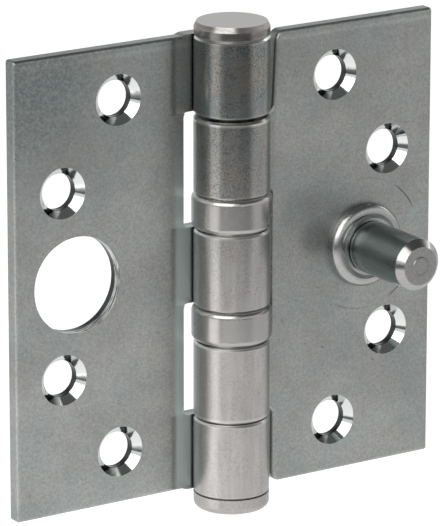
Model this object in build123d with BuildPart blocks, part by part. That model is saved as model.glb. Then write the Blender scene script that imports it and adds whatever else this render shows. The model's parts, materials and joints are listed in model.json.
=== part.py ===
from build123d import *

import os
from math import asin, atan2, cos, degrees, radians, sin, sqrt

# Frame: the origin is on the pin's axis at mid-height. +Z runs up the pin, +X to the door leaf,
# -X to the frame leaf. The countersunk faces and the stud look along -Y. The hinge lies open flat.

# Sheet and leaves. A leaf's width is measured from the pin's axis
THICKNESS = 3.0
LEAF_HEIGHT = 88.4
LEAF_WIDTH = 44.8
CORNER_RADIUS = 0.5
FRONT_ROUND = 0.7
BACK_ROUND = 0.4

# Distance from the pin's axis back to the door leaf's countersunk face
DOOR_FACE = -1.5

# Barrel: five knuckles and two ball bearings in one stack, a little taller than the leaves
BARREL_OVERHANG = 0.3
BEARING_HEIGHT = 7.0
TOP_GAP = 0.5
BOTTOM_GAP = 0.2
KNUCKLE_BORE = 8.4
KNUCKLE_CHAMFER = 0.4
SEAM_GAP = 0.5

# The door leaf's sheet cranks back round this radius before it is rolled
CRANK_RADIUS = 4.5

# Blank outline: the leaves' straight inner edges and their corners beside the knuckles.
# The door leaf's edge leans away from the top knuckle
FRAME_INNER_EDGE = 8.0
DOOR_INNER_EDGE = 8.3
DOOR_EDGE_LEAN = 0.7
SLOT_RADIUS = 1.0
INNER_CORNER_RADIUS = 2.0

# Coining: the roll former's shallow flat across the front of the frame leaf's tongues
COIN_DEPTH = 0.3
COIN_START = 11.0
COIN_SLOPE = 1.8
COIN_END = 5.0
COIN_OVERHANG = 0.3

# Countersunk screw holes, two columns of two on each leaf
SCREW_HOLE_RADIUS = 3.5
COUNTERSINK_RADIUS = 4.9
COUNTERSINK_ANGLE = 82
INNER_COLUMN = 22.3
INNER_INSET = 10.1
OUTER_INSET = 10.3
OUTER_SPACING = 36.0

# Dog bolt: a stud on the door leaf, and the frame leaf's hole that it swings through.
# It comes in on an arc, so the hole's centre lies further from the pin than the stud's
STUD_RADIUS = 5.0
STUD_INSET = 15.7
STUD_REACH = 18.9
STUD_CHAMFER = 1.3
STUD_PIP_RADIUS = 1.7
STUD_PIP_HEIGHT = 0.12
STUD_NECK_RADIUS = 4.8
STUD_RELIEF = 0.3
SPIGOT_RADIUS = 4.0
RIVET_RADIUS = 5.2
STUD_HOLE_RADIUS = 9.3
STUD_HOLE_SHIFT = 2.4

# Collar round the stud's neck: a rounded bead, a groove and an inner rim
COLLAR_RADIUS = 8.2
BEAD_RADIUS = 6.4
BEAD_HEIGHT = 2.2
BEAD_ROUND = 1.7
GROOVE_RADIUS = 5.9
GROOVE_HEIGHT = 1.9
RIM_RADIUS = 5.6
COLLAR_HEIGHT = 2.6

# Pin, its head and the cap on its lower end
HEAD_RADIUS = 7.15
HEAD_HEIGHT = 2.7
HEAD_CHAMFER = 0.5
HEAD_CHAMFER_DEPTH = 1.0
HEAD_FOOT = 0.25
CAP_RADIUS = 7.2
CAP_HEIGHT = 3.0
CAP_ROUND = 1.2
CAP_EDGE = 0.45
TAIL_RADIUS = 2.5
TAIL_LENGTH = 1.7

# Ball bearing: a drawn shell over two grooved races, with caged balls between them.
# The shell's lower edge is curled in under the lower race's shoulder
BALL_RADIUS = 1.0
BALL_COUNT = 10
CAGE_THICKNESS = 0.9
CAGE_WEB = 0.1
RACE_GROOVE_DEPTH = 0.35
RACE_FOOT_HEIGHT = 1.6
RACE_CHAMFER = 0.6
SHELL_WALL = 0.5
SHELL_ROUND = 1.1
SHELL_LIP = 1.2
SHELL_LIFT = 0.3

# Clearances, all radial unless a comment says otherwise
PIN_CLEARANCE = 0.05
PRESS_CLEARANCE = 0.02
BEARING_CLEARANCE = 0.1
RACE_CLEARANCE = 0.3
SHELL_FIT = 0.05
BALL_CLEARANCE = 0.1
POCKET_CLEARANCE = 0.1
CAGE_CLEARANCE = 0.25
TAIL_END_GAP = 0.2

BORE_RADIUS = KNUCKLE_BORE / 2
BARREL_RADIUS = BORE_RADIUS + THICKNESS
ROLL_RADIUS = BORE_RADIUS + THICKNESS / 2
PIN_RADIUS = BORE_RADIUS - PIN_CLEARANCE
LEAF_TOP = LEAF_HEIGHT / 2
BARREL_TOP = LEAF_TOP + BARREL_OVERHANG
DOOR_BACK = DOOR_FACE + THICKNESS
INNER_SPACING = LEAF_HEIGHT - 2 * INNER_INSET
OUTER_COLUMN = LEAF_WIDTH - OUTER_INSET
SCREW_COLUMNS = ((INNER_COLUMN, INNER_SPACING), (OUTER_COLUMN, OUTER_SPACING))
KNUCKLE_HEIGHT = (2 * BARREL_TOP - 2 * BEARING_HEIGHT - TOP_GAP - BOTTOM_GAP) / 5


def stack_knuckles():
    """The low and high end of each knuckle, from the top down."""
    spaces = (TOP_GAP, BEARING_HEIGHT, BEARING_HEIGHT, BOTTOM_GAP, 0)
    ends = []
    top = BARREL_TOP
    for space in spaces:
        ends.append((top - KNUCKLE_HEIGHT, top))
        top -= KNUCKLE_HEIGHT + space
    return ends


KNUCKLES = stack_knuckles()
FRAME_KNUCKLES = KNUCKLES[0::2]
DOOR_KNUCKLES = KNUCKLES[1::2]
BEARING_SEATS = {"upper": KNUCKLES[2][1], "lower": KNUCKLES[3][1]}

# The frame leaf's sheet runs straight into its rolls, so its rear face is tangent to the barrel
FRAME_FACE = BORE_RADIUS
FRAME_BACK = FRAME_FACE + THICKNESS
COIN_FACE = FRAME_FACE + COIN_DEPTH
COIN_RAMP = [
    (-COIN_START, FRAME_FACE),
    (-COIN_START + COIN_SLOPE / 2, FRAME_FACE),
    (-COIN_START + COIN_SLOPE / 2, COIN_FACE),
    (-COIN_START + COIN_SLOPE, COIN_FACE),
]
FRAME_SEAM_ANGLE = 180 - degrees(asin((COIN_FACE - SEAM_GAP) / BARREL_RADIUS))

# The door leaf's sheet cranks back round CRANK_CENTRE before it meets the roll
DOOR_MIDDLE = DOOR_FACE + THICKNESS / 2
CRANK_RISE = DOOR_MIDDLE + CRANK_RADIUS
CRANK_START = sqrt((ROLL_RADIUS + CRANK_RADIUS) ** 2 - CRANK_RISE**2)
CRANK_CENTRE = (CRANK_START, CRANK_RISE)
CRANK_ANGLE = degrees(atan2(CRANK_RISE, CRANK_START))
DOOR_SEAM_ANGLE = 360 - degrees(asin((SEAM_GAP - DOOR_FACE) / BARREL_RADIUS))

STUD_DISTANCE = LEAF_WIDTH - STUD_INSET
STUD_HOLE_DISTANCE = STUD_DISTANCE + STUD_HOLE_SHIFT
STUD_END = DOOR_FACE - STUD_REACH
COLLAR_FACE = DOOR_FACE - COLLAR_HEIGHT
COLLAR_BORE = STUD_NECK_RADIUS + PRESS_CLEARANCE
STUD_PLANE = Plane(origin=(STUD_DISTANCE, 0, 0))
STUD_AXIS = Axis((STUD_DISTANCE, 0, 0), (0, 1, 0))

# Outlines of the two leaves beside the knuckles, for the +X side
FRAME_OUTLINE = [(FRAME_INNER_EDGE, -LEAF_TOP), (FRAME_INNER_EDGE, LEAF_TOP)]
DOOR_OUTLINE = [
    (DOOR_INNER_EDGE, -LEAF_TOP),
    (DOOR_INNER_EDGE, DOOR_KNUCKLES[0][1]),
    (DOOR_INNER_EDGE + DOOR_EDGE_LEAN, LEAF_TOP),
]

# Bearing section: radii from the pin outwards, heights up from the lower knuckle's end
RACE_BORE = PIN_RADIUS + BEARING_CLEARANCE
CAGE_BORE = PIN_RADIUS + CAGE_CLEARANCE
POCKET_RADIUS = BALL_RADIUS + POCKET_CLEARANCE
BALL_CIRCLE_RADIUS = CAGE_BORE + CAGE_WEB + POCKET_RADIUS
CAGE_RADIUS = BALL_CIRCLE_RADIUS + POCKET_RADIUS + CAGE_WEB
SHELL_RADIUS = CAGE_RADIUS + RACE_CLEARANCE + SHELL_WALL
LIP_RADIUS = SHELL_RADIUS - SHELL_LIP
UPPER_RACE_RADIUS = SHELL_RADIUS - SHELL_WALL - SHELL_FIT
LOWER_RACE_RADIUS = SHELL_RADIUS - SHELL_WALL - RACE_CLEARANCE
RACE_FOOT_RADIUS = LIP_RADIUS - RACE_CLEARANCE
BALL_HEIGHT = BEARING_HEIGHT / 2
RACE_GROOVE_RADIUS = BALL_RADIUS + BALL_CLEARANCE
RACE_SPACE = 2 * (RACE_GROOVE_RADIUS - RACE_GROOVE_DEPTH)


def rolled_knuckle(low, high, start_angle, end_angle):
    """The end of the sheet, wrapped round the bore from one angle to the other, in degrees."""
    start = radians(start_angle)
    radial_plane = Plane(
        origin=(0, 0, 0), x_dir=(cos(start), sin(start), 0), z_dir=(sin(start), -cos(start), 0)
    )
    with BuildPart() as roll:
        with BuildSketch(radial_plane):
            with Locations((BORE_RADIUS, low)):
                section = Rectangle(THICKNESS, high - low, align=Align.MIN)
            chamfer(section.vertices(), KNUCKLE_CHAMFER)
        revolve(axis=Axis.Z, revolution_arc=end_angle - start_angle)
    return roll.part


def tongue_outline(low, high, inner_edge):
    """A tongue of the flat blank, from the leaf's inner edge to the pin's axis."""
    leaf_low = max(low, -LEAF_TOP)
    leaf_high = min(high, LEAF_TOP)
    corners = [(0, low), (BARREL_RADIUS, low), (inner_edge, leaf_low)]
    return corners + [(inner_edge, leaf_high), (BARREL_RADIUS, high), (0, high)]


def slot_corners(blank):
    """The blank's corners between the barrel and the screw holes, row by row upwards."""
    corners = blank.vertices().filter_by_position(
        Axis.X, BARREL_RADIUS, INNER_COLUMN, inclusive=(False, False)
    )
    return corners.group_by(Axis.Y)


def blank_prism(inner_outline, knuckles):
    """The flat blank's outline on the +X side, as the press cuts it, through the whole depth."""
    leaf = inner_outline + [(LEAF_WIDTH, LEAF_TOP), (LEAF_WIDTH, -LEAF_TOP)]
    tongues = [tongue_outline(low, high, inner_outline[0][0]) for low, high in knuckles]
    with BuildPart() as prism:
        with BuildSketch(Plane.XZ.offset(-BARREL_RADIUS)) as blank:
            for outline in [leaf] + tongues:
                with BuildLine():
                    Polyline(outline, close=True)
                make_face()
            fillet(blank.vertices().group_by(Axis.X)[-1], CORNER_RADIUS)
            fillet([corner for row in slot_corners(blank)[1:-1] for corner in row], SLOT_RADIUS)
            rows = slot_corners(blank)
            fillet(rows[0] + rows[-1], INNER_CORNER_RADIUS)
        extrude(amount=2 * BARREL_RADIUS)
    return prism.part


frame_blank = blank_prism(FRAME_OUTLINE, FRAME_KNUCKLES).mirror(Plane.YZ)
door_blank = blank_prism(DOOR_OUTLINE, DOOR_KNUCKLES)
frame_rolls = [rolled_knuckle(low, high, FRAME_SEAM_ANGLE, 450) for low, high in FRAME_KNUCKLES]
door_rolls = [rolled_knuckle(low, high, CRANK_ANGLE, DOOR_SEAM_ANGLE) for low, high in DOOR_KNUCKLES]

# Frame leaf: a flat plate whose three tongues are coined on the front and end in knuckles
with BuildPart() as frame_leaf:
    with BuildSketch(Plane.XZ.offset(-FRAME_FACE)):
        Rectangle(LEAF_WIDTH, 2 * BARREL_TOP, align=(Align.MAX, Align.CENTER))
    extrude(amount=-THICKNESS)
    add(frame_blank, mode=Mode.INTERSECT)
    front = frame_leaf.edges().filter_by_position(Axis.Y, FRAME_FACE, FRAME_FACE)
    fillet(front.sort_by(Axis.X)[0], FRONT_ROUND)
    back = frame_leaf.edges().filter_by_position(Axis.Y, FRAME_BACK, FRAME_BACK)
    fillet(back.sort_by(Axis.X)[0], BACK_ROUND)
    for low, high in FRAME_KNUCKLES:
        with BuildSketch(Plane.XY.offset(low - COIN_OVERHANG)):
            with BuildLine():
                Bezier(*COIN_RAMP)
                Polyline(COIN_RAMP[-1], (-COIN_END, COIN_FACE), (-COIN_END, FRAME_FACE), COIN_RAMP[0])
            make_face()
        extrude(amount=high - low + 2 * COIN_OVERHANG, mode=Mode.SUBTRACT)
    add(frame_rolls)
    with Locations(Plane.XZ.offset(-FRAME_FACE)):
        for column, spacing in SCREW_COLUMNS:
            with Locations((-column, 0)):
                with GridLocations(0, spacing, 1, 2):
                    CounterSinkHole(SCREW_HOLE_RADIUS, COUNTERSINK_RADIUS, None, COUNTERSINK_ANGLE)
        with Locations((-STUD_HOLE_DISTANCE, 0)):
            Hole(STUD_HOLE_RADIUS)

# Door leaf: the whole inner edge cranks back, and its two tongues end in knuckles
with BuildPart() as door_leaf:
    with BuildSketch(Plane.XY.offset(-LEAF_TOP)):
        with BuildLine():
            Line((LEAF_WIDTH, DOOR_MIDDLE), (CRANK_START, DOOR_MIDDLE))
            CenterArc(CRANK_CENTRE, CRANK_RADIUS, 270, CRANK_ANGLE - 90)
        trace(line_width=THICKNESS)
    extrude(amount=LEAF_HEIGHT)
    add(door_blank, mode=Mode.INTERSECT)
    front = door_leaf.edges().filter_by_position(Axis.Y, DOOR_FACE, DOOR_FACE)
    fillet(front.sort_by(Axis.X)[-1], FRONT_ROUND)
    back = door_leaf.edges().filter_by_position(Axis.Y, DOOR_BACK, DOOR_BACK)
    fillet(back.sort_by(Axis.X)[-1], BACK_ROUND)
    add(door_rolls)
    with Locations(Plane.XZ.offset(-DOOR_FACE)):
        for column, spacing in SCREW_COLUMNS:
            with Locations((column, 0)):
                with GridLocations(0, spacing, 1, 2):
                    CounterSinkHole(SCREW_HOLE_RADIUS, COUNTERSINK_RADIUS, None, COUNTERSINK_ANGLE)
    with Locations(-Plane.XZ.offset(-DOOR_BACK)):
        with Locations((STUD_DISTANCE, 0)):
            CounterSinkHole(SPIGOT_RADIUS + PRESS_CLEARANCE, RIVET_RADIUS, counter_sink_angle=90)

# Dog bolt: a turned stud whose spigot is riveted flush with the door leaf's back
with BuildPart() as stud:
    with BuildSketch(STUD_PLANE) as stud_section:
        with BuildLine():
            Polyline(
                (0, DOOR_BACK),
                (RIVET_RADIUS - PRESS_CLEARANCE, DOOR_BACK),
                (SPIGOT_RADIUS, DOOR_BACK - RIVET_RADIUS + SPIGOT_RADIUS + PRESS_CLEARANCE),
                (SPIGOT_RADIUS, DOOR_FACE),
                (STUD_NECK_RADIUS, DOOR_FACE),
                (STUD_NECK_RADIUS, COLLAR_FACE - STUD_RELIEF),
                (STUD_RADIUS, COLLAR_FACE - STUD_RELIEF),
                (STUD_RADIUS, STUD_END + STUD_CHAMFER),
                (STUD_RADIUS - STUD_CHAMFER, STUD_END),
                (STUD_PIP_RADIUS + STUD_PIP_HEIGHT, STUD_END),
                (STUD_PIP_RADIUS, STUD_END - STUD_PIP_HEIGHT),
                (0, STUD_END - STUD_PIP_HEIGHT),
                close=True,
            )
        make_face()
    revolve(axis=STUD_AXIS)

# Collar: a turned ring pressed on the stud's neck
with BuildPart() as stud_collar:
    with BuildSketch(STUD_PLANE) as collar_section:
        with BuildLine():
            Polyline(
                (COLLAR_BORE, DOOR_FACE),
                (COLLAR_RADIUS, DOOR_FACE),
                (COLLAR_RADIUS, DOOR_FACE - BEAD_HEIGHT),
                (BEAD_RADIUS, DOOR_FACE - BEAD_HEIGHT),
                (GROOVE_RADIUS, DOOR_FACE - GROOVE_HEIGHT),
                (RIM_RADIUS, COLLAR_FACE),
                (COLLAR_BORE, COLLAR_FACE),
                close=True,
            )
        make_face()
        fillet(collar_section.vertices().group_by(Axis.X)[-1].sort_by(Axis.Y)[0], BEAD_ROUND)
    revolve(axis=STUD_AXIS)

# Pin: a plain shank, a turned head above the top knuckle and a thinner tail for the cap
with BuildPart() as hinge_pin:
    with BuildSketch(Plane.XZ):
        with BuildLine():
            Polyline(
                (0, -BARREL_TOP - TAIL_LENGTH),
                (TAIL_RADIUS, -BARREL_TOP - TAIL_LENGTH),
                (TAIL_RADIUS, -BARREL_TOP),
                (PIN_RADIUS, -BARREL_TOP),
                (PIN_RADIUS, BARREL_TOP),
                (HEAD_RADIUS - HEAD_FOOT, BARREL_TOP),
                (HEAD_RADIUS, BARREL_TOP + HEAD_FOOT),
                (HEAD_RADIUS, BARREL_TOP + HEAD_HEIGHT - HEAD_CHAMFER_DEPTH),
                (HEAD_RADIUS - HEAD_CHAMFER, BARREL_TOP + HEAD_HEIGHT),
                (0, BARREL_TOP + HEAD_HEIGHT),
                close=True,
            )
        make_face()
    revolve(axis=Axis.Z)

# Cap: a turned button pressed on the pin's tail under the bottom knuckle
with BuildPart() as bottom_cap:
    with BuildSketch(Plane.XZ) as cap_section:
        with Locations((0, -BARREL_TOP)):
            Rectangle(CAP_RADIUS, CAP_HEIGHT, align=(Align.MIN, Align.MAX))
            Rectangle(
                TAIL_RADIUS + PRESS_CLEARANCE,
                TAIL_LENGTH + TAIL_END_GAP,
                align=(Align.MIN, Align.MAX),
                mode=Mode.SUBTRACT,
            )
        rim = cap_section.vertices().group_by(Axis.X)[-1].sort_by(Axis.Y)
        fillet(rim[0], CAP_ROUND)
        chamfer(rim[-1], CAP_EDGE)
    revolve(axis=Axis.Z)


def lower_race(seat):
    """The race that lies on the lower knuckle, with the balls' groove in its top."""
    with BuildPart() as race:
        with BuildSketch(Plane.XZ):
            with Locations((RACE_BORE, seat)):
                Rectangle(RACE_FOOT_RADIUS - RACE_BORE, RACE_FOOT_HEIGHT, align=Align.MIN)
            with Locations((RACE_BORE, seat + BALL_HEIGHT - RACE_SPACE / 2)):
                Rectangle(
                    LOWER_RACE_RADIUS - RACE_BORE,
                    BALL_HEIGHT - RACE_SPACE / 2 - RACE_FOOT_HEIGHT,
                    align=(Align.MIN, Align.MAX),
                )
            with Locations((BALL_CIRCLE_RADIUS, seat + BALL_HEIGHT)):
                Circle(RACE_GROOVE_RADIUS, mode=Mode.SUBTRACT)
        revolve(axis=Axis.Z)
    return race


def upper_race(seat):
    """The race inside the shell, with the balls' groove in its underside."""
    with BuildPart() as race:
        with BuildSketch(Plane.XZ):
            with Locations((RACE_BORE, seat + BEARING_HEIGHT - SHELL_WALL)):
                section = Rectangle(
                    UPPER_RACE_RADIUS - RACE_BORE,
                    BALL_HEIGHT - SHELL_WALL - RACE_SPACE / 2,
                    align=(Align.MIN, Align.MAX),
                )
            chamfer(section.vertices().group_by(Axis.Y)[-1].sort_by(Axis.X)[-1], RACE_CHAMFER)
            with Locations((BALL_CIRCLE_RADIUS, seat + BALL_HEIGHT)):
                Circle(RACE_GROOVE_RADIUS, mode=Mode.SUBTRACT)
        revolve(axis=Axis.Z)
    return race


def bearing_shell(seat):
    """The drawn cup under the upper knuckle. Its skirt hangs over both races."""
    wall_radius = SHELL_RADIUS - SHELL_WALL / 2
    top = seat + BEARING_HEIGHT - SHELL_WALL / 2
    bottom = seat + SHELL_LIFT + SHELL_WALL / 2
    with BuildPart() as shell:
        with BuildSketch(Plane.XZ):
            with BuildLine():
                FilletPolyline(
                    (RACE_BORE, top),
                    (wall_radius, top),
                    (wall_radius, bottom),
                    (LIP_RADIUS, bottom),
                    radius=SHELL_ROUND - SHELL_WALL / 2,
                )
            trace(line_width=SHELL_WALL)
        revolve(axis=Axis.Z)
    return shell


def ball_set(seat):
    """The balls, evenly spaced round the pin."""
    with BuildPart(Plane.XY.offset(seat + BALL_HEIGHT)) as balls:
        with PolarLocations(BALL_CIRCLE_RADIUS, BALL_COUNT):
            Sphere(BALL_RADIUS)
    return balls


def ball_cage(seat):
    """The flat ring that spaces the balls, with a pocket for each."""
    with BuildPart() as cage:
        with BuildSketch(Plane.XY.offset(seat + BALL_HEIGHT - CAGE_THICKNESS / 2)):
            Circle(CAGE_RADIUS)
            Circle(CAGE_BORE, mode=Mode.SUBTRACT)
            with PolarLocations(BALL_CIRCLE_RADIUS, BALL_COUNT):
                Circle(POCKET_RADIUS, mode=Mode.SUBTRACT)
        extrude(amount=CAGE_THICKNESS)
    return cage


pieces = {
    "frame_leaf": frame_leaf,
    "door_leaf": door_leaf,
    "stud": stud,
    "stud_collar": stud_collar,
    "hinge_pin": hinge_pin,
    "bottom_cap": bottom_cap,
}
for level, seat in BEARING_SEATS.items():
    pieces[f"{level}_bearing_shell"] = bearing_shell(seat)
    pieces[f"{level}_bearing_upper_race"] = upper_race(seat)
    pieces[f"{level}_bearing_lower_race"] = lower_race(seat)
    pieces[f"{level}_bearing_balls"] = ball_set(seat)
    pieces[f"{level}_bearing_cage"] = ball_cage(seat)

os.makedirs("parts", exist_ok=True)
for name, piece in pieces.items():
    piece.part.label = name
    export_step(piece.part, f"parts/{name}.step")
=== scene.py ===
import json
from math import cos, hypot, pi, radians, sin
from typing import NamedTuple

import bpy
from mathutils import Matrix, Vector


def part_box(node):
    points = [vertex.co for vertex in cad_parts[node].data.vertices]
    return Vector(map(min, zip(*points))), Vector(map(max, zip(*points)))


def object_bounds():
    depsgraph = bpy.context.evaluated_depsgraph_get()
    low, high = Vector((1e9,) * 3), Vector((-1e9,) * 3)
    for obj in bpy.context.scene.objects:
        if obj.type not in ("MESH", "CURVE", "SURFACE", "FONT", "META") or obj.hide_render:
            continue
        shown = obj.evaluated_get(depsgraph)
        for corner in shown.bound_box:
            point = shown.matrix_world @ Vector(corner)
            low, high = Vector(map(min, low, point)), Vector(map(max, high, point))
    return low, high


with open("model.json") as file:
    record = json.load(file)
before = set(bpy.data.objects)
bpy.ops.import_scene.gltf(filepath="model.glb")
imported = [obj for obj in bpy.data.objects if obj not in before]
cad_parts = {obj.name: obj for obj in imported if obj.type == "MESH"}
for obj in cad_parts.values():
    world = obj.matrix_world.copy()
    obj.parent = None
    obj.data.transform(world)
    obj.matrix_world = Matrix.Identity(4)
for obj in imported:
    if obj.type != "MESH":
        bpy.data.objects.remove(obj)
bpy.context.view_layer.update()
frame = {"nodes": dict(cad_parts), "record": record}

# Lengths are in metres, in the row frame: +Z up the pin, the countersunk faces look along -Y.
# In a pair of places, a change is still 0 at the first and has reached 1 at the second
MM = 0.001

# Camera, fitted to the photograph. Its azimuth is turned from -Y, and its lens is in millimetres
CAMERA_AZIMUTH = radians(-33.4)
CAMERA_ELEVATION = radians(16.04)
CAMERA_ROLL = radians(0.06)
CAMERA_DISTANCE = 0.909
CAMERA_AIM = Vector((-2.61, 0, 0.74)) * MM
CAMERA_LENS = 396.2
CAMERA_REACH = 100
SENSOR_WIDTH = 36

# Sockets of Blender's Mix node that share one name
MIX_NUMBERS = (2, 3)
MIX_COLOURS = (6, 7)
MIX_COLOUR_RESULT = 2

# Places on the object that the finishes follow, worked out from the frame
LEAF_WIDTH, _, LEAF_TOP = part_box("door_leaf")[1]
BARREL_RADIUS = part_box("frame_leaf")[1].x
PIN_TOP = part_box("hinge_pin")[1].z
STUD_LOW, STUD_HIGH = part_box("stud")
STUD_X = (STUD_LOW.x + STUD_HIGH.x) / 2
MOUNTS = {mount["name"]: mount for mount in frame["record"]["mounts"]}
STUD_HOLE_X = MOUNTS["stud_hole"]["pos_m"][0]
STUD_HOLE_RADIUS = MOUNTS["stud_hole"]["dims"]["r_mm"] * MM
SCREW_HOLE_RADIUS = MOUNTS["door_screws_inner"]["dims"]["hole_r_mm"] * MM
COUNTERSINK_RADIUS = 4.9 * MM
FRAME_CONE_FOOT = MOUNTS["frame_screws_inner"]["pos_m"][1]
DOOR_CONE_FOOT = MOUNTS["door_screws_inner"]["pos_m"][1]

# The screw holes on a leaf: their distances from the pin and from mid-height
SCREW_PLACES = []
for column in ("door_screws_inner", "door_screws_outer"):
    mount = MOUNTS[column]
    SCREW_PLACES.append((mount["pos_m"][0], mount["dims"]["spacing_y_mm"] / 2 * MM))


class Pattern(NamedTuple):
    """A noise pattern on a surface."""

    # Width of one feature, in metres
    size: float
    detail: float
    roughness: float
    # The two levels of the noise that the pattern fades between, or None for the noise itself
    fade: tuple = None
    # The values that the pattern ranges over
    span: tuple = (0.0, 1.0)
    # How many times as long a feature is along x, y and z
    stretch: tuple = (1, 1, 1)
    # Shift of the noise, so that two patterns don't match
    offset: float = 0.0


class Nodes:
    """A node tree, with short ways to build what the finishes and the stage share."""

    def __init__(self, tree):
        self.tree = tree

    def add(self, kind, **settings):
        node = self.tree.nodes.new(kind)
        for name, value in settings.items():
            setattr(node, name, value)
        return node

    def feed(self, socket, value):
        """Links a socket to another's output, or sets it to a plain value."""
        if isinstance(value, bpy.types.NodeSocket):
            self.tree.links.new(value, socket)
        elif isinstance(value, tuple) and len(value) == 3 and socket.type == "RGBA":
            socket.default_value = (*value, 1)
        else:
            socket.default_value = value

    def math(self, operation, first, second=0.0):
        node = self.add("ShaderNodeMath", operation=operation)
        self.feed(node.inputs[0], first)
        self.feed(node.inputs[1], second)
        return node.outputs[0]

    def times(self, first, second):
        return self.math("MULTIPLY", first, second)

    def most(self, first, second):
        return self.math("MAXIMUM", first, second)

    def fade(self, value, low, high):
        """0 below low and 1 above high, smooth between. Low may be the larger."""
        node = self.add("ShaderNodeMapRange", interpolation_type="SMOOTHSTEP")
        self.feed(node.inputs["Value"], value)
        self.feed(node.inputs["From Min"], min(low, high))
        self.feed(node.inputs["From Max"], max(low, high))
        self.feed(node.inputs["To Min"], 0.0 if low < high else 1.0)
        self.feed(node.inputs["To Max"], 1.0 if low < high else 0.0)
        return node.outputs["Result"]

    def line(self, value, place, half):
        """1 along value = place, and 0 from half a width away."""
        return self.times(
            self.fade(value, place - half, place), self.fade(value, place + half, place)
        )

    def lerp(self, factor, first, second):
        """A number between first and second."""
        node = self.add("ShaderNodeMix", data_type="FLOAT")
        self.feed(node.inputs["Factor"], factor)
        for socket, value in zip(MIX_NUMBERS, (first, second)):
            self.feed(node.inputs[socket], value)
        return node.outputs[0]

    def mix(self, factor, first, second):
        """A colour between first and second."""
        node = self.add("ShaderNodeMix", data_type="RGBA")
        self.feed(node.inputs["Factor"], factor)
        for socket, value in zip(MIX_COLOURS, (first, second)):
            self.feed(node.inputs[socket], value)
        return node.outputs[MIX_COLOUR_RESULT]

    def shade(self, colour, level):
        """A colour made lighter or darker by a level, where 1 leaves it as it is."""
        node = self.add("ShaderNodeVectorMath", operation="SCALE")
        self.feed(node.inputs[0], colour)
        self.feed(node.inputs["Scale"], level)
        return node.outputs[0]


class Finish(Nodes):
    """A metal's material, whose patterns follow the place on the object."""

    METALLIC = 1.0
    EDGE_TINT = (0.92, 0.94, 0.94)

    def __init__(self, name):
        self.material = bpy.data.materials.new(name)
        self.material.use_nodes = True
        super().__init__(self.material.node_tree)
        self.shader = self.tree.nodes["Principled BSDF"]
        self.place = self.add("ShaderNodeTexCoord").outputs["Object"]
        split = self.add("ShaderNodeSeparateXYZ")
        self.feed(split.inputs[0], self.place)
        self.x, self.y, self.z = split.outputs

    def pattern(self, pattern):
        """The value of a pattern at each place."""
        mapping = self.add("ShaderNodeMapping")
        self.feed(mapping.inputs["Vector"], self.place)
        mapping.inputs["Location"].default_value = (pattern.offset,) * 3
        mapping.inputs["Scale"].default_value = [1 / (pattern.size * s) for s in pattern.stretch]
        node = self.add("ShaderNodeTexNoise")
        self.feed(node.inputs["Vector"], mapping.outputs[0])
        self.feed(node.inputs["Scale"], 1.0)
        self.feed(node.inputs["Detail"], pattern.detail)
        self.feed(node.inputs["Roughness"], pattern.roughness)
        value = node.outputs["Fac"]
        if pattern.fade:
            value = self.fade(value, *pattern.fade)
        return self.lerp(value, *pattern.span)

    def length(self, first, second):
        squares = self.math("ADD", self.times(first, first), self.times(second, second))
        return self.math("SQRT", squares)

    def distance_xz(self, x, z, mirrored=False):
        """Distance in the leaf's plane from a point, or from its mirror images too."""
        across = self.math("ABSOLUTE", self.x) if mirrored else self.x
        up = self.math("ABSOLUTE", self.z) if mirrored else self.z
        return self.length(self.math("SUBTRACT", across, x), self.math("SUBTRACT", up, z))

    def distance_from_pin(self):
        return self.length(self.x, self.y)

    def bump(self, height, depth, strength):
        node = self.add("ShaderNodeBump")
        node.inputs["Strength"].default_value = strength
        node.inputs["Distance"].default_value = depth
        self.feed(node.inputs["Height"], height)
        self.feed(self.shader.inputs["Normal"], node.outputs[0])

    def finish(self, colour, roughness):
        self.feed(self.shader.inputs["Base Color"], colour)
        self.feed(self.shader.inputs["Roughness"], roughness)
        self.feed(self.shader.inputs["Metallic"], self.METALLIC)
        self.feed(self.shader.inputs["Specular Tint"], self.EDGE_TINT)
        return self.material


# The leaves' flat sheet: zinc plate with cool and warm clouds, specks and a few darker spots.
# Its grain is flat at the middle of its range, as on the smooth countersinks
SHEET_COOL = (0.315, 0.34, 0.333)
SHEET_WARM = (0.346, 0.343, 0.33)
SHEET_TONE = Pattern(9 * MM, 4, 0.6, fade=(0.25, 0.75))
SHEET_CLOUDS = Pattern(16 * MM, 4, 0.6, fade=(0.3, 0.7), span=(0.9, 1.08), offset=7)
SHEET_SPECKS = Pattern(0.45 * MM, 3, 0.7, fade=(0.3, 0.7), span=(0.86, 1.12))
SHEET_SPOTS = Pattern(1.3 * MM, 3, 0.6, fade=(0.62, 0.7), span=(1.0, 0.84), offset=4)
SHEET_ROUGHNESS = Pattern(4 * MM, 3, 0.6, span=(0.36, 0.46), offset=2)
SHEET_GRAIN = Pattern(0.5 * MM, 3, 0.6)
GRAIN_MIDDLE = 0.5
SHEET_GRAIN_DEPTH = 0.012 * MM
SHEET_GRAIN_STRENGTH = 0.6
FRAME_LEVEL = 1.06
DOOR_LEVEL = 0.99

# Its free edges: a broken dark line just inside them, and a painted highlight, a brighter band
# along the top
EDGE_INSET = 0.35 * MM
EDGE_BLUR = 0.4 * MM
EDGE_BREAKS = Pattern(3 * MM, 3, 0.7, fade=(0.4, 0.55), offset=8)
SIDE_EDGE_Z = (16 * MM, 24 * MM)
TOP_HIGHLIGHT_INSET = 1.6 * MM
TOP_HIGHLIGHT_BLUR = 0.8 * MM
TOP_HIGHLIGHT_BRIGHTNESS = 1.18

# The tarnished upper corner of the frame leaf
TARNISH = (0.17, 0.195, 0.195)
TARNISH_PLACE = (-42 * MM, 40 * MM)
TARNISH_REACH = (30 * MM, 4 * MM)
TARNISH_SPECKS = Pattern(0.5 * MM, 4, 0.75, fade=(0.35, 0.65), span=(0.35, 1.0), offset=3)

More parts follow.
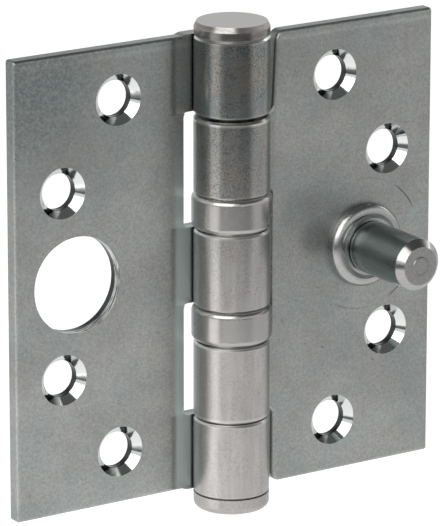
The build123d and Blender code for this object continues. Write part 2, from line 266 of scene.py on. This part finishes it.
# The coined tongues beside the frame leaf's knuckles
TONGUE = (0.46, 0.54, 0.53)
TONGUE_OUTER_X = (-10.6 * MM, -9.2 * MM)
TONGUE_INNER_X = (-2 * MM, -7 * MM)
TONGUE_FRONT_Y = (6.4 * MM, 5.4 * MM)
TONGUE_LIGHT_Z = (30 * MM, 8 * MM)

# Screw holes and the stud's hole: bright countersinks, and walls sheared bright and torn, with
# the torn band and the screw holes' walls painted near-black as painted shade
POLISHED = (0.6, 0.62, 0.615)
POLISHED_ROUGHNESS = 0.09
SHEARED = (0.42, 0.43, 0.425)
SHEARED_LINES = Pattern(
    0.5 * MM, 3, 0.7, fade=(0.42, 0.58), span=(0.3, 1.5), stretch=(9, 1, 9)
)
TORN_AND_SHADED = (0.05, 0.054, 0.054)
TORN_Y = (6.2 * MM, 6.7 * MM)
TORN_RAGGED = Pattern(2 * MM, 3, 0.6, span=(0.0, 1.2 * MM))
WALL_ROUGHNESS = 0.25
RIM_BLUR = 0.05 * MM

# The knuckles: dark and peppered at the top of the barrel, lighter towards its foot; the change
# with height is painted shade
KNUCKLE_COOL = (0.235, 0.257, 0.259)
KNUCKLE_WARM = (0.285, 0.276, 0.256)
KNUCKLE_PAINTED_LIGHT = (0.42, 0.405, 0.395)
KNUCKLE_RIM = (BARREL_RADIUS + 0.35 * MM, BARREL_RADIUS + 0.1 * MM)
KNUCKLE_TONE = Pattern(3.5 * MM, 3, 0.6, fade=(0.35, 0.65), stretch=(1, 1, 2), offset=6)
KNUCKLE_STREAKS = Pattern(1.1 * MM, 3, 0.6, span=(0.76, 1.22), stretch=(1, 1, 9))
PAINTED_LIGHT_Z = (36 * MM, -14 * MM)
PEPPER = Pattern(0.36 * MM, 3, 0.75, fade=(0.32, 0.6), offset=9)
PEPPER_PATCHES = Pattern(4 * MM, 3, 0.6, fade=(0.38, 0.6), span=(0.75, 0.0), offset=1)
PEPPER_DARK = (0.42, 0.84)
PEPPER_CLEAR = 1.08
KNUCKLE_ROUGHNESS = (0.25, 0.33)
KNUCKLE_ROUGH_Z = (30 * MM, -20 * MM)

# The edges of the knuckles' ends, lightened as a painted highlight
KNUCKLE_EDGE_HIGHLIGHT = (0.55, 0.54, 0.53)
KNUCKLE_EDGE_HIGHLIGHT_HALF = 0.5 * MM
BORE_REACH = 4.25 * MM
END_GAP = 1 * MM

# Arcs scuffed into the door leaf round the stud: middle and half width in degrees, and depth
SCUFFS = ((41, 19, 1.0), (-55, 8, 1.0), (-103, 24, 0.45), (80, 24, 0.25))
SCUFF_RADIUS = 12.8 * MM
SCUFF_HALF = 0.22 * MM
SCUFF_CORE = 0.4
SCUFF_BREAKS = Pattern(1 * MM, 3, 0.7, span=(0.5, 1.3), offset=6)

# Pits on the door leaf, and two darker patches left of the stud's collar: x, z and radius in
# millimetres, and depth
PITS_AND_PATCHES = (
    (19.8, -19.1, 0.3, 0.8),
    (31.5, -23.5, 0.28, 0.7),
    (10.9, 34.0, 0.22, 0.5),
    (18.2, 3.0, 5.0, 0.4),
    (14.5, 9.0, 6.0, 0.12),
)
SPOT_CORE = 0.3
DOOR_FRONT_Y = (-1.2 * MM, -1.4 * MM)
MARK_LEVEL = 0.2


def plate_colour(f):
    """Zinc plate on rolled sheet."""
    colour = f.mix(f.pattern(SHEET_TONE), SHEET_COOL, SHEET_WARM)
    level = f.times(f.pattern(SHEET_CLOUDS), f.pattern(SHEET_SPECKS))
    return f.shade(colour, f.times(level, f.pattern(SHEET_SPOTS)))


def dark_edge_line(f):
    """A broken dark line just inside the free edges' upper part."""
    side = f.line(f.math("ABSOLUTE", f.x), LEAF_WIDTH - EDGE_INSET, EDGE_BLUR)
    top = f.line(f.z, LEAF_TOP - EDGE_INSET, EDGE_BLUR)
    edge = f.most(f.times(side, f.fade(f.z, *SIDE_EDGE_Z)), top)
    return f.times(edge, f.pattern(EDGE_BREAKS))


def tarnish(f, colour):
    """Dark specks that thicken towards the leaf's upper corner and along a broken line inside its
    edges.
    """
    corner = f.fade(f.distance_xz(*TARNISH_PLACE), *TARNISH_REACH)
    amount = f.most(corner, dark_edge_line(f))
    return f.mix(f.times(amount, f.pattern(TARNISH_SPECKS)), colour, TARNISH)


def coined_tongue(f):
    """1 on the fronts of the coined tongues, and less towards the top of the barrel."""
    across = f.times(f.fade(f.x, *TONGUE_OUTER_X), f.fade(f.x, *TONGUE_INNER_X))
    front = f.times(across, f.fade(f.y, *TONGUE_FRONT_Y))
    return f.times(front, f.fade(f.z, *TONGUE_LIGHT_Z))


def knuckle_ends(node):
    """The heights of the ends of a leaf's knuckles, from the frame's own model of their bores."""
    vertices = frame["nodes"][node].data.vertices
    heights = sorted(v.co.z for v in vertices if hypot(v.co.x, v.co.y) < BORE_REACH)
    groups = [[]]
    for low, high in zip(heights, heights[1:]):
        groups[-1].append(low)
        if high - low > END_GAP:
            groups.append([])
    groups[-1].append(heights[-1])
    return [(group[0] + group[-1]) / 2 for group in groups]


def knuckle_colour(f, node):
    """Rolled sheet, peppered with dark specks in patches, with streaks up and down the barrel."""
    # Painted shade: the knuckles darken towards the top of the barrel and lighten towards its
    # foot, and their specks darken with them
    painted_light = f.fade(f.z, *PAINTED_LIGHT_Z)
    plated = f.mix(f.pattern(KNUCKLE_TONE), KNUCKLE_COOL, KNUCKLE_WARM)
    colour = f.mix(painted_light, plated, KNUCKLE_PAINTED_LIGHT)
    clear = f.most(f.pattern(PEPPER), f.pattern(PEPPER_PATCHES))
    peppered = f.lerp(clear, f.lerp(painted_light, *PEPPER_DARK), PEPPER_CLEAR)
    colour = f.shade(colour, f.times(f.pattern(KNUCKLE_STREAKS), peppered))
    # Painted highlight: a lighter line along each end of every knuckle
    edge_highlight = 0.0
    for end in knuckle_ends(node):
        edge_highlight = f.most(edge_highlight, f.line(f.z, end, KNUCKLE_EDGE_HIGHLIGHT_HALF))
    return f.mix(edge_highlight, colour, KNUCKLE_EDGE_HIGHLIGHT)


def hole_wall(f, distance, radius):
    """1 on the wall of a hole, from the distance to its axis."""
    return f.fade(distance, radius + 2 * RIM_BLUR, radius + RIM_BLUR)


def countersink(f, distance, foot):
    """1 on a countersink, from the distance to its axis and the height of its foot."""
    inside = f.fade(distance, COUNTERSINK_RADIUS + RIM_BLUR, COUNTERSINK_RADIUS - RIM_BLUR)
    return f.times(inside, f.fade(f.y, foot + RIM_BLUR, foot))


def sheet_finish(node, level, cone_foot):
    """A leaf: plated sheet with knuckles in painted light and shade, and bright countersinks."""
    f = Finish(f"{node}_plate")
    # Painted highlight: the front face is lightened in a band just below its top edge
    top_highlight = f.line(f.z, LEAF_TOP - TOP_HIGHLIGHT_INSET, TOP_HIGHLIGHT_BLUR)
    colour = f.shade(plate_colour(f), f.lerp(top_highlight, level, level * TOP_HIGHLIGHT_BRIGHTNESS))
    colour = f.mix(coined_tongue(f), tarnish(f, colour), TONGUE)
    knuckle = f.fade(f.distance_from_pin(), *KNUCKLE_RIM)
    colour = f.mix(knuckle, colour, knuckle_colour(f, node))
    knuckle_rough = f.lerp(f.fade(f.z, *KNUCKLE_ROUGH_Z), *KNUCKLE_ROUGHNESS)
    rough = f.lerp(knuckle, f.pattern(SHEET_ROUGHNESS), knuckle_rough)
    near, far = (f.distance_xz(x, z, mirrored=True) for x, z in SCREW_PLACES)
    distance = f.math("MINIMUM", near, far)
    cone = countersink(f, distance, cone_foot)
    colour = f.mix(cone, colour, POLISHED)
    # Painted shade: the screw holes' walls are near-black
    colour = f.mix(hole_wall(f, distance, SCREW_HOLE_RADIUS), colour, TORN_AND_SHADED)
    rough = f.lerp(cone, rough, POLISHED_ROUGHNESS)
    grain = f.lerp(cone, f.pattern(SHEET_GRAIN), GRAIN_MIDDLE)
    f.bump(grain, SHEET_GRAIN_DEPTH, SHEET_GRAIN_STRENGTH)
    return f, colour, rough


def frame_leaf_finish():
    """The frame leaf's large hole is punched: its wall is sheared bright, then torn, and the torn
    band is painted near-black as painted shade.
    """
    f, colour, rough = sheet_finish("frame_leaf", FRAME_LEVEL, FRAME_CONE_FOOT)
    wall = hole_wall(f, f.distance_xz(STUD_HOLE_X, 0), STUD_HOLE_RADIUS)
    torn = f.fade(f.math("ADD", f.y, f.pattern(TORN_RAGGED)), *TORN_Y)
    sheared = f.shade(SHEARED, f.pattern(SHEARED_LINES))
    colour = f.mix(wall, colour, f.mix(torn, sheared, TORN_AND_SHADED))
    return f.finish(colour, f.lerp(wall, rough, WALL_ROUGHNESS))


def door_leaf_finish():
    """The door leaf carries scuffed arcs round the stud, small pits and darker patches beside the
    collar.
    """
    f, colour, rough = sheet_finish("door_leaf", DOOR_LEVEL, DOOR_CONE_FOOT)
    ring = f.line(f.distance_xz(STUD_X, 0), SCUFF_RADIUS, SCUFF_HALF)
    marks = 0.0
    for middle, half, depth in SCUFFS:
        x = STUD_X + SCUFF_RADIUS * cos(radians(middle))
        z = SCUFF_RADIUS * sin(radians(middle))
        reach = SCUFF_RADIUS * radians(half)
        along = f.fade(f.distance_xz(x, z), reach, reach * SCUFF_CORE)
        marks = f.most(marks, f.times(f.times(ring, along), depth))
    marks = f.times(marks, f.pattern(SCUFF_BREAKS))
    for x, z, radius, depth in PITS_AND_PATCHES:
        spot = f.fade(f.distance_xz(x * MM, z * MM), radius * MM, radius * SPOT_CORE * MM)
        marks = f.most(marks, f.times(spot, depth))
    level = f.lerp(f.times(marks, f.fade(f.y, *DOOR_FRONT_Y)), 1.0, MARK_LEVEL)
    return f.finish(f.shade(colour, level), rough)


# Turned surfaces: soft clouds, dark specks and a fine grain
TURNED_CLOUDS = Pattern(4 * MM, 3, 0.6, span=(0.88, 1.12))
TURNED_SPECKS = Pattern(0.4 * MM, 3, 0.7, fade=(0.3, 0.6), offset=5)
SPECK_DEPTH = 0.14
SPECK_LIFT = 0.05
TURNED_WEAR = Pattern(1.5 * MM, 3, 0.6, span=(0.8, 1.2), offset=2)
TURNED_GRAIN = Pattern(0.4 * MM, 2, 0.5)
TURNED_GRAIN_DEPTH = 0.005 * MM
TURNED_GRAIN_STRENGTH = 0.5

# Turned pieces: material, tone, roughness and strength of the grain
TURNED_PIECES = {
    "bottom_cap": ("cap_plate", (0.38, 0.365, 0.355), 0.24, 1.0),
    "stud_collar": ("collar_plate", (0.36, 0.368, 0.362), 0.24, 1.0),
}
BEARING_PIECES = {
    "bearing_shell": ("shell_plate", (0.38, 0.37, 0.36), 0.26, 0.35),
    "bearing_upper_race": ("upper_race_steel", (0.3, 0.3, 0.3), 0.2, 1.0),
    "bearing_lower_race": ("lower_race_steel", (0.3, 0.3, 0.3), 0.2, 1.0),
    "bearing_balls": ("ball_steel", (0.5, 0.5, 0.5), 0.08, 1.0),
    "bearing_cage": ("cage_brass", (0.6, 0.45, 0.2), 0.3, 1.0),
}
for place in ("upper", "lower"):
    for piece, (plate, *look) in BEARING_PIECES.items():
        TURNED_PIECES[f"{place}_{piece}"] = (f"{place}_{plate}", *look)

# The pin: its head's top is painted lighter and its side darker, as painted light and shade
HEAD_TOP_LIT = (0.33, 0.318, 0.31)
HEAD_SIDE_SHADED = (0.235, 0.228, 0.216)
HEAD_TOP_Z = (PIN_TOP - 0.1 * MM, PIN_TOP - 0.03 * MM)
HEAD_SIDE_MOTTLE = Pattern(
    2.5 * MM, 4, 0.65, fade=(0.3, 0.7), span=(0.8, 1.3), stretch=(2, 2, 0.5)
)
PIN_SPECKS = TURNED_SPECKS._replace(span=(0.88, 1.05))
PIN_ROUGHNESS = 0.24

# The stud: dark drawn shank, worn light by the collar, and a paler turned end with a centre pip
SHANK = (0.23, 0.265, 0.262)
SHANK_WORN = (0.36, 0.39, 0.385)
SHANK_DRAWN = Pattern(0.9 * MM, 4, 0.65, span=(0.7, 1.3), stretch=(1, 9, 1))
SHANK_ROUGHNESS = 0.24
SHANK_END = STUD_LOW.y + 1.3 * MM
SHANK_END_Y = (SHANK_END + 0.1 * MM, SHANK_END - 0.1 * MM)
WORN_BAND = STUD_LOW.y + 13.4 * MM
WORN_BAND_HALF = 1.6 * MM
WORN_PATCHES = Pattern(2 * MM, 3, 0.6, span=(0.2, 1.0), offset=2)
CHAMFER = (0.36, 0.355, 0.345)
CHAMFER_ROUGHNESS = 0.2
STUD_FACE = (0.3, 0.3, 0.292)
STUD_FACE_REACH = (3.9 * MM, 3.5 * MM)
STUD_FACE_ROUGHNESS = 0.36
STUD_SPECKS = Pattern(0.5 * MM, 3, 0.7, fade=(0.3, 0.65), span=(0.84, 1.06), offset=5)
STUD_GRAIN_DEPTH = 0.006 * MM
PIP_RADIUS = 1.7 * MM
PIP_HALF = 0.6 * MM
PIP_LEVEL = 0.85


def turned_finish(name, tone, roughness, grain):
    """A turned and plated surface, with soft mottling and a fine grain."""
    f = Finish(name)
    dark, light = 1 - SPECK_DEPTH * grain, 1 + SPECK_LIFT * grain
    speck = f.lerp(f.pattern(TURNED_SPECKS), dark, light)
    colour = f.shade(tone, f.times(f.pattern(TURNED_CLOUDS), speck))
    f.bump(f.pattern(TURNED_GRAIN), TURNED_GRAIN_DEPTH, TURNED_GRAIN_STRENGTH * grain)
    return f.finish(colour, f.times(f.pattern(TURNED_WEAR), roughness))


def pin_finish():
    f = Finish("pin_plate")
    # Painted light and shade: a lighter top and a darker, mottled side on the head
    side = f.shade(HEAD_SIDE_SHADED, f.pattern(HEAD_SIDE_MOTTLE))
    colour = f.mix(f.fade(f.z, *HEAD_TOP_Z), side, HEAD_TOP_LIT)
    f.bump(f.pattern(TURNED_GRAIN), TURNED_GRAIN_DEPTH, TURNED_GRAIN_STRENGTH)
    return f.finish(f.shade(colour, f.pattern(PIN_SPECKS)), PIN_ROUGHNESS)


def stud_finish():
    f = Finish("stud_plate")
    worn = f.times(f.line(f.y, WORN_BAND, WORN_BAND_HALF), f.pattern(WORN_PATCHES))
    shank = f.shade(f.mix(worn, SHANK, SHANK_WORN), f.pattern(SHANK_DRAWN))
    from_axis = f.distance_xz(STUD_X, 0)
    face = f.fade(from_axis, *STUD_FACE_REACH)
    pip = f.lerp(f.line(from_axis, PIP_RADIUS, PIP_HALF), 1.0, PIP_LEVEL)
    end = f.shade(f.mix(face, CHAMFER, STUD_FACE), f.times(f.pattern(STUD_SPECKS), pip))
    end_rough = f.lerp(face, CHAMFER_ROUGHNESS, STUD_FACE_ROUGHNESS)
    tip = f.fade(f.y, *SHANK_END_Y)
    f.bump(f.pattern(TURNED_GRAIN), STUD_GRAIN_DEPTH, TURNED_GRAIN_STRENGTH)
    return f.finish(f.mix(tip, shank, end), f.lerp(tip, SHANK_ROUGHNESS, end_rough))


def dress(node, material):
    slots = frame["nodes"][node].data.materials
    slots.clear()
    slots.append(material)


dress("frame_leaf", frame_leaf_finish())
dress("door_leaf", door_leaf_finish())
dress("hinge_pin", pin_finish())
dress("stud", stud_finish())
for node, look in TURNED_PIECES.items():
    dress(node, turned_finish(*look))


# Stage: a pale floor under a white horizon, with soft boxes. Metal mirrors the floor near the
# object as white, and the floor further out in front of it as dark: painted light and shade on
# the floor, seen only in reflections. Angles are in degrees
WHITE = (1, 1, 1, 1)
FLOOR_DROP = 70 * MM
FLOOR_SIZE = 30.0
FLOOR_WHITE = 0.8
FLOOR_LIFT = 0.5
POOL_CENTRE = (-0.16, -0.08, 0)
POOL_REACH = (0.18, 0.46)
POOL_DIM = 0.72
FRONT_AZIMUTH = 251
FRONT_ANGLES = (54, 38)
FRONT_REACH = (0.3, 0.5)
FRONT_TONE = 0.13
SLIT_AZIMUTH = 205
SLIT_ANGLES = (5, 2)
SLIT_REACH = (0.2, 0.26)
SLIT_TONE = 0.4
WORLD_DIFFUSE = 0.5
HORIZON_ELEVATION = 20
CEILING_ELEVATION = 46
CEILING_TONE = 0.12

# Each soft box: azimuth and elevation of its place as seen from the object, distance, width,
# height, brightness of its face and its colour
SOFT_BOXES = {
    "key_box": (211, 37, 0.95, 0.98, 0.85, 3.0, (1, 0.99, 0.98)),
    "left_box": (180, -21.4, 0.26, 0.18, 0.05, 0.8, (1, 0.98, 0.96)),
    "back_box": (9, 24, 1.1, 0.22, 0.3, 4.0, (1, 1, 1)),
}


def direction(azimuth, elevation):
    """The unit vector towards a place. Azimuth 0 is +X and 90 is +Y."""
    a, e = radians(azimuth), radians(elevation)
    return Vector((cos(a) * cos(e), sin(a) * cos(e), sin(e)))


class Stage(Nodes):
    """The floor's or the world's nodes, where rays of several kinds see several tones."""

    def __init__(self, tree):
        super().__init__(tree)
        path = self.add("ShaderNodeLightPath")
        self.glossy = path.outputs["Is Glossy Ray"]
        seen = self.most(path.outputs["Is Camera Ray"], path.outputs["Is Transmission Ray"])
        self.seen = self.most(seen, self.glossy)

    def vector(self, operation, output, first, second=None):
        """An output of a vector node, whose second vector is a plain value."""
        node = self.add("ShaderNodeVectorMath", operation=operation)
        self.feed(node.inputs[0], first)
        if second is not None:
            node.inputs[1].default_value = second
        return node.outputs[output]

    def dark_sector(self, flat, azimuth, angles, reach, tone):
        """The tone in a sector of the floor past a reach from the middle, and 1 elsewhere."""
        unit = self.vector("NORMALIZE", "Vector", flat)
        towards = self.vector("DOT_PRODUCT", "Value", unit, direction(azimuth, 0))
        inside = self.fade(towards, *(cos(radians(angle)) for angle in angles))
        beyond = self.fade(self.vector("DISTANCE", "Value", flat, (0, 0, 0)), *reach)
        return self.lerp(self.times(inside, beyond), 1.0, tone)

    def floor_tone(self):
        """The floor's tone in reflections: a painted pool of light by the object, and two sectors
        of painted shade.
        """
        place = self.add("ShaderNodeTexCoord").outputs["Object"]
        flat = self.vector("MULTIPLY", "Vector", place, (1, 1, 0))
        from_pool = self.vector("DISTANCE", "Value", flat, POOL_CENTRE)
        pool = self.lerp(self.fade(from_pool, *POOL_REACH), 1.0, POOL_DIM)
        front = self.dark_sector(flat, FRONT_AZIMUTH, FRONT_ANGLES, FRONT_REACH, FRONT_TONE)
        slit = self.dark_sector(flat, SLIT_AZIMUTH, SLIT_ANGLES, SLIT_REACH, SLIT_TONE)
        return self.times(pool, self.times(front, slit))


def make_floor():
    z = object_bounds()[0][2] - FLOOR_DROP
    half = FLOOR_SIZE / 2
    mesh = bpy.data.meshes.new("floor")
    corners = [(-half, -half, z), (half, -half, z), (half, half, z), (-half, half, z)]
    mesh.from_pydata(corners, [], [(0, 1, 2, 3)])
    floor = bpy.data.objects.new("floor", mesh)
    bpy.context.scene.collection.objects.link(floor)
    material = bpy.data.materials.new("pale_floor")
    material.use_nodes = True
    shader = material.node_tree.nodes["Principled BSDF"]
    stage = Stage(material.node_tree)
    tone = stage.lerp(stage.glossy, 1.0, stage.floor_tone())
    lift = stage.times(stage.seen, FLOOR_LIFT)
    stage.feed(shader.inputs["Base Color"], stage.shade((FLOOR_WHITE,) * 3, tone))
    stage.feed(shader.inputs["Roughness"], 1.0)
    stage.feed(shader.inputs["Specular IOR Level"], 0.0)
    stage.feed(shader.inputs["Emission Color"], WHITE)
    stage.feed(shader.inputs["Emission Strength"], stage.times(lift, tone))
    mesh.materials.append(material)


def make_world():
    world = bpy.data.worlds.new("studio")
    world.use_nodes = True
    background = world.node_tree.nodes["Background"]
    stage = Stage(world.node_tree)
    split = stage.add("ShaderNodeSeparateXYZ")
    stage.feed(split.inputs[0], stage.add("ShaderNodeTexCoord").outputs["Generated"])
    horizon, overhead = sin(radians(HORIZON_ELEVATION)), sin(radians(CEILING_ELEVATION))
    ceiling = stage.fade(split.outputs["Z"], horizon, overhead)
    mirrored = stage.lerp(stage.glossy, 1.0, stage.lerp(ceiling, 1.0, CEILING_TONE))
    stage.feed(background.inputs["Color"], WHITE)
    stage.feed(background.inputs["Strength"], stage.lerp(stage.seen, WORLD_DIFFUSE, mirrored))
    bpy.context.scene.world = world


def make_lamp(name, azimuth, elevation, distance, width, height, brightness, colour):
    lamp = bpy.data.lights.new(name, "AREA")
    lamp.shape = "RECTANGLE"
    lamp.size = width
    lamp.size_y = height
    lamp.energy = brightness * pi * width * height
    lamp.color = colour
    holder = bpy.data.objects.new(name, lamp)
    away = direction(azimuth, elevation)
    holder.location = away * distance
    holder.rotation_euler = away.to_track_quat("Z", "Y").to_euler()
    holder.visible_camera = False
    bpy.context.scene.collection.objects.link(holder)


def make_camera():
    camera = bpy.data.cameras.new("camera")
    camera.sensor_fit = "HORIZONTAL"
    camera.sensor_width = SENSOR_WIDTH
    camera.lens = CAMERA_LENS
    camera.clip_end = CAMERA_REACH
    level = cos(CAMERA_ELEVATION)
    back = Vector(
        (sin(CAMERA_AZIMUTH) * level, -cos(CAMERA_AZIMUTH) * level, sin(CAMERA_ELEVATION))
    )
    right = Vector((cos(CAMERA_AZIMUTH), sin(CAMERA_AZIMUTH), 0))
    up = back.cross(right)
    rolled_right = right * cos(CAMERA_ROLL) + up * sin(CAMERA_ROLL)
    rolled_up = back.cross(rolled_right)
    turn = Matrix((rolled_right, rolled_up, back)).transposed().to_4x4()
    holder = bpy.data.objects.new("camera", camera)
    holder.matrix_world = Matrix.Translation(CAMERA_AIM + back * CAMERA_DISTANCE) @ turn
    bpy.context.scene.collection.objects.link(holder)
    bpy.context.scene.camera = holder


make_floor()
make_world()
for name, settings in SOFT_BOXES.items():
    make_lamp(name, *settings)
make_camera()
bpy.context.scene.view_settings.view_transform = "Standard"
